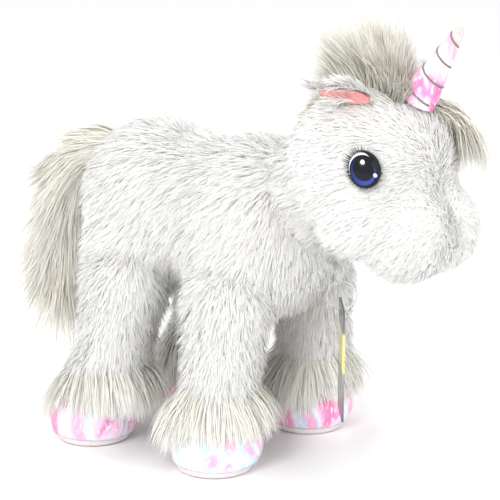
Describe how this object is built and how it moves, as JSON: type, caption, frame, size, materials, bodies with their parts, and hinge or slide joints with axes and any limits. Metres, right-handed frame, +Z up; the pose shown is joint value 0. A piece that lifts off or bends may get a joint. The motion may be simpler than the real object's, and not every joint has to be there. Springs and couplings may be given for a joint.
{
  "type": "plush unicorn",
  "caption": "White plush unicorn standing on four legs, with shaggy fur, silky mane and tail, iridescent hooves and a thread-wound horn.",
  "frame": {"origin": "on the floor under the middle of the overall length, between the soles", "axes": "+X the way it faces, +Y its left side, +Z up"},
  "size_m": [0.2794, 0.1324, 0.224],
  "materials": {
    "white_plush": "matte",
    "long_silky_hair": "satin",
    "polyester_stuffing": "matte",
    "bean_filling": "matte",
    "iridescent_cloth": "gloss",
    "pale_satin": "satin",
    "coral_satin": "satin",
    "dark_thread": "satin",
    "eye_plastic": "gloss",
    "white_plastic": "matte",
    "clear_plastic_loop": "satin",
    "printed_card": "satin"
  },
  "bodies": {
    "torso": {"torso_skin_right": "white_plush", "torso_skin_left": "white_plush", "belly_panel": "white_plush", "torso_stuffing": "polyester_stuffing", "bean_bag": "bean_filling", "tag_loop": "clear_plastic_loop"},
    "neck": {"neck_core": "polyester_stuffing"},
    "head": {"head_skin_right": "white_plush", "head_skin_left": "white_plush", "face_strip": "white_plush", "head_stuffing": "polyester_stuffing", "eye_right": "eye_plastic", "eye_left": "eye_plastic", "eye_washer_right": "white_plastic", "eye_washer_left": "white_plastic", "mane": "long_silky_hair", "forelock": "long_silky_hair", "mouth_stitch": "dark_thread"},
    "horn": {"horn_cover": "iridescent_cloth", "horn_stuffing": "polyester_stuffing", "horn_thread": "dark_thread"},
    "right_ear": {"ear_right": "white_plush", "ear_lining_right": "coral_satin"},
    "left_ear": {"ear_left": "white_plush", "ear_lining_left": "coral_satin"},
    "front_right_leg": {"front_right_leg_skin": "white_plush", "front_right_leg_stuffing": "polyester_stuffing", "front_right_cuff": "long_silky_hair", "front_right_hoof": "iridescent_cloth", "front_right_sole": "pale_satin", "front_right_hoof_beans": "bean_filling"},
    "front_left_leg": {"front_left_leg_skin": "white_plush", "front_left_leg_stuffing": "polyester_stuffing", "front_left_cuff": "long_silky_hair", "front_left_hoof": "iridescent_cloth", "front_left_sole": "pale_satin", "front_left_hoof_beans": "bean_filling"},
    "hind_right_leg": {"hind_right_leg_skin": "white_plush", "hind_right_leg_stuffing": "polyester_stuffing", "hind_right_cuff": "long_silky_hair", "hind_right_hoof": "iridescent_cloth", "hind_right_sole": "pale_satin", "hind_right_hoof_beans": "bean_filling"},
    "hind_left_leg": {"hind_left_leg_skin": "white_plush", "hind_left_leg_stuffing": "polyester_stuffing", "hind_left_cuff": "long_silky_hair", "hind_left_hoof": "iridescent_cloth", "hind_left_sole": "pale_satin", "hind_left_hoof_beans": "bean_filling"},
    "tail_root": {"tail_core": "polyester_stuffing"},
    "tail": {"tail_hair": "long_silky_hair"},
    "tag": {"hang_tag": "printed_card"}
  },
  "joints": [
    {"name": "front_right_leg_swing", "type": "hinge", "parent": "torso", "child": "front_right_leg", "pos_m": [0.02437, -0.04, 0.084], "axis": [0, -1, 0], "range_deg": [-15, 15], "stiffness_Nm_per_rad": 3},
    {"name": "front_left_leg_swing", "type": "hinge", "parent": "torso", "child": "front_left_leg", "pos_m": [0.02437, 0.04, 0.084], "axis": [0, -1, 0], "range_deg": [-15, 15], "stiffness_Nm_per_rad": 3},
    {"name": "hind_right_leg_swing", "type": "hinge", "parent": "torso", "child": "hind_right_leg", "pos_m": [-0.05363, -0.04, 0.084], "axis": [0, -1, 0], "range_deg": [-15, 15], "stiffness_Nm_per_rad": 3},
    {"name": "hind_left_leg_swing", "type": "hinge", "parent": "torso", "child": "hind_left_leg", "pos_m": [-0.05363, 0.04, 0.084], "axis": [0, -1, 0], "range_deg": [-15, 15], "stiffness_Nm_per_rad": 3},
    {"name": "head_nod", "type": "hinge", "parent": "torso", "child": "neck", "pos_m": [0.06005, 0, 0.13402], "axis": [0, 1, 0], "range_deg": [-14, 14], "stiffness_Nm_per_rad": 2},
    {"name": "head_turn", "type": "hinge", "parent": "neck", "child": "head", "pos_m": [0.06005, 0, 0.13402], "axis": [0, 0, 1], "range_deg": [-14, 14], "stiffness_Nm_per_rad": 0.6},
    {"name": "horn_bend", "type": "hinge", "parent": "head", "child": "horn", "pos_m": [0.11176, 0, 0.18441], "axis": [0, 1, 0], "range_deg": [-8, 8], "stiffness_Nm_per_rad": 0.1},
    {"name": "right_ear_flop", "type": "hinge", "parent": "head", "child": "right_ear", "pos_m": [0.10199, -0.02325, 0.18747], "axis": [-0.5592, 0.829, 0], "range_deg": [-4, 35], "stiffness_Nm_per_rad": 0.02},
    {"name": "left_ear_flop", "type": "hinge", "parent": "head", "child": "left_ear", "pos_m": [0.10199, 0.02325, 0.18747], "axis": [0.5592, 0.829, 0], "range_deg": [-4, 35], "stiffness_Nm_per_rad": 0.02},
    {"name": "tail_lift", "type": "hinge", "parent": "torso", "child": "tail_root", "pos_m": [-0.08272, 0, 0.14998], "axis": [0, 1, 0], "range_deg": [-4, 40], "stiffness_Nm_per_rad": 0.3},
    {"name": "tail_wag", "type": "hinge", "parent": "tail_root", "child": "tail", "pos_m": [-0.08272, 0, 0.14998], "axis": [0, 0, 1], "range_deg": [-25, 25], "stiffness_Nm_per_rad": 0.15},
    {"name": "tag_swing", "type": "hinge", "parent": "torso", "child": "tag", "pos_m": [0.06853, 0.004, 0.077], "axis": [-0.6018, 0.7986, 0], "range_deg": [-15, 25]}
  ]
}
